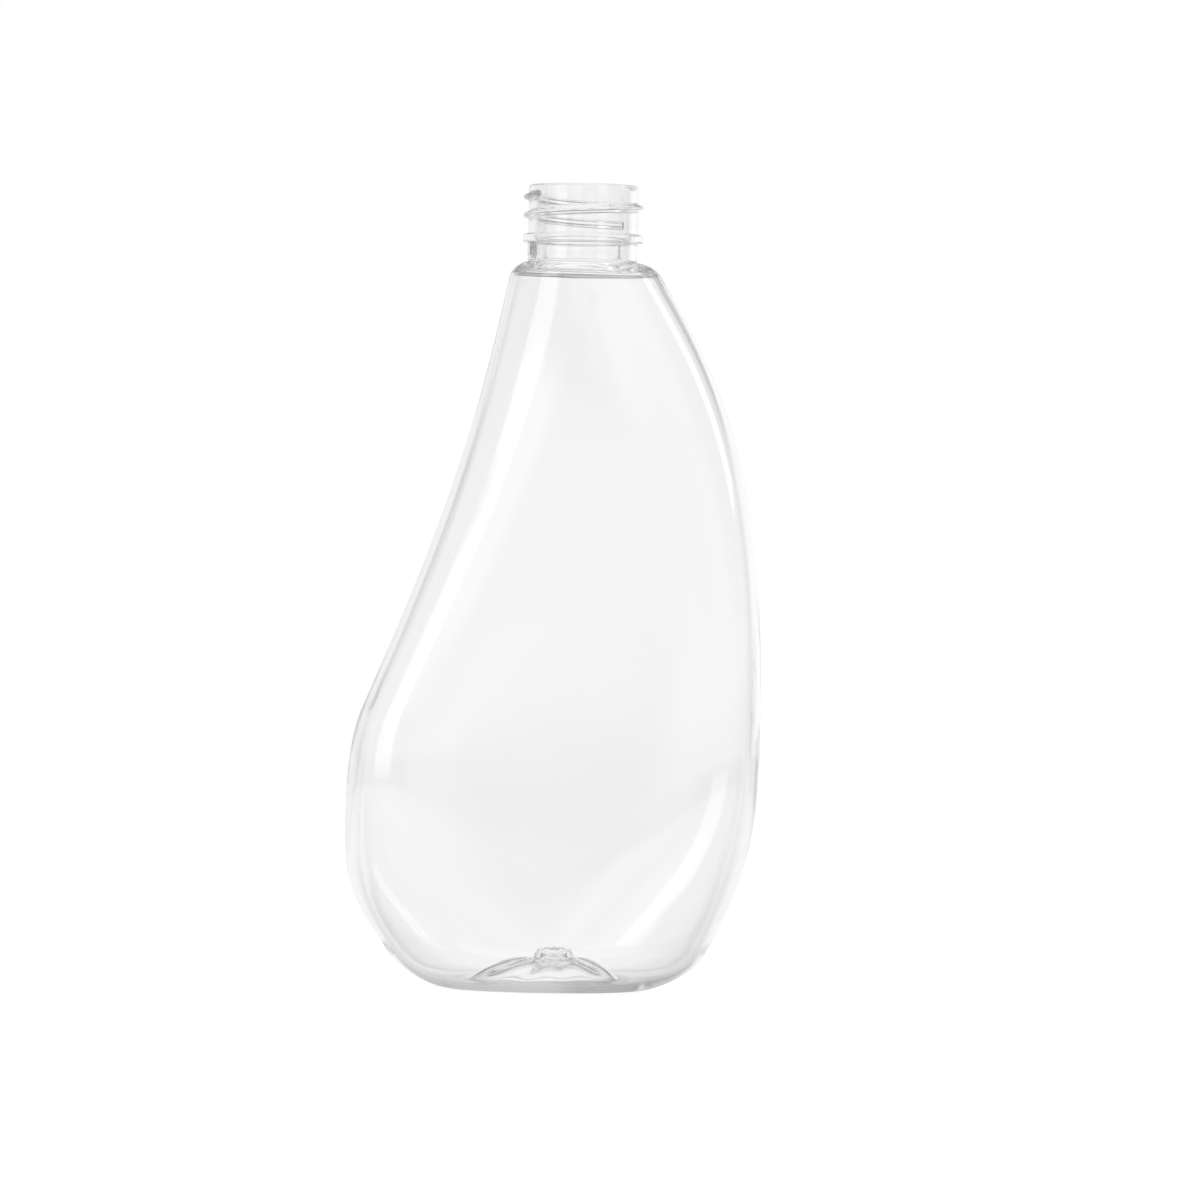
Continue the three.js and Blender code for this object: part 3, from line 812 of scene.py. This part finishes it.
floor_x, floor_y, _ = coordinates(tree, "Object")
away = span_of(tree, floor_x, floor_y)
across = calculate(tree, "DIVIDE", floor_x, away)
onward = calculate(tree, "DIVIDE", floor_y, away)
# Painted light and shade in the floor's glow to the plastic: bright at the left, dark at the right, light
# behind and close by.
floor_painted_light_and_shade = product(tree, sides(tree, across, FLOOR_LEFT),
                   fade(tree, away, NEAR_SIDES_REACH, (NEAR_SIDES, 1.0)))
behind = product(tree, fade(tree, onward, BEHIND_TURN, (0.0, 1.0)),
                 fade(tree, away, BEHIND_REACH, BEHIND_LEVELS))
straight_behind = fade(tree, onward, STRAIGHT_BEHIND, (0.0, 1.0))
near = product(tree, fade(tree, away, NEAR_REACH, (NEAR_LEVEL, 0.0)),
               fade(tree, across, NEAR_RIGHT_TURN, (1.0, NEAR_RIGHT_SHARE)))
for level in (behind, straight_behind, near):
    floor_painted_light_and_shade = calculate(tree, "MAXIMUM", floor_painted_light_and_shade, level)

# Painted contact shadow: the floor's glow is dimmed in a narrow band along the outer edge of the standing
# ring.
ring_x, ring_half_width, ring_half_depth = sole[0, :3]
from_ring_middle = calculate(tree, "SUBTRACT", floor_x, ring_x)
from_ring = span_of(tree, calculate(tree, "DIVIDE", from_ring_middle, ring_half_width),
                    calculate(tree, "DIVIDE", floor_y, ring_half_depth))
painted_contact_shadow = product(tree, fade(tree, from_ring, CONTACT_SHADOW_INNER_EDGE, (0.0, CONTACT_SHADOW_DIMMING)),
                  fade(tree, from_ring, CONTACT_SHADOW_OUTER_EDGE, (1.0, 0.0)))
floor_painted_light_and_shade = product(tree, floor_painted_light_and_shade, rest_of(tree, painted_contact_shadow))
print("standing ring %.1f by %.1f mm" % (2 * ring_half_width / MM, 2 * ring_half_depth / MM))

# %% Floor shader
matt = tree.nodes.new("ShaderNodeBsdfDiffuse")
path = tree.nodes.new("ShaderNodeLightPath")
tree.links.new(product(tree, path.outputs["Is Camera Ray"], FLOOR_MATT), matt.inputs["Color"])
glow = tree.nodes.new("ShaderNodeEmission")
tree.links.new(choose(tree, "Is Camera Ray", floor_painted_light_and_shade, FLOOR_GLOW), glow.inputs["Strength"])
both = tree.nodes.new("ShaderNodeAddShader")
tree.links.new(matt.outputs["BSDF"], both.inputs[0])
tree.links.new(glow.outputs["Emission"], both.inputs[1])
tree.links.new(both.outputs["Shader"], tree.nodes["Material Output"].inputs["Surface"])
print("to the camera the floor glows at %.2f and is matt at %.2f" % (FLOOR_GLOW, FLOOR_MATT))

# %% [markdown]
# ## Light paths
#
# Light that enters the thick neck is mirrored inside its wall many times before it leaves. Within Blender's
# usual limits such places turn black, so the paths are allowed to be longer.

# %% Bounces
LONGEST_PATH = 128

paths = bpy.context.scene.cycles
paths.max_bounces = LONGEST_PATH
paths.glossy_bounces = LONGEST_PATH
paths.transmission_bounces = LONGEST_PATH
print("light paths of up to", paths.max_bounces, "bounces")

# %% [markdown]
# ## Camera
#
# The photograph was taken level, from far enough that the sides look almost parallel, and a degree off
# upright. The camera stands on the line through the middle of that picture.

# %% Camera
FRAME_WIDTH = 0.276
CAMERA_DISTANCE = 1.9
PICTURE_MIDDLE_X = 10.2 * MM
PICTURE_MIDDLE_Z = 89.8 * MM
LEVEL_DEG = 90
LEAN_DEG = -1

camera_data = bpy.data.cameras.new("camera")
camera_data.angle = 2 * math.atan(FRAME_WIDTH / 2 / CAMERA_DISTANCE)
camera = bpy.data.objects.new("camera", camera_data)
bpy.context.collection.objects.link(camera)
camera.location = (PICTURE_MIDDLE_X, -CAMERA_DISTANCE, PICTURE_MIDDLE_Z)
camera.rotation_euler = (math.radians(LEVEL_DEG), math.radians(LEAN_DEG), 0.0)
bpy.context.scene.camera = camera
bpy.context.scene.view_settings.view_transform = "Standard"
print("camera sees %.1f degrees" % math.degrees(camera_data.angle))
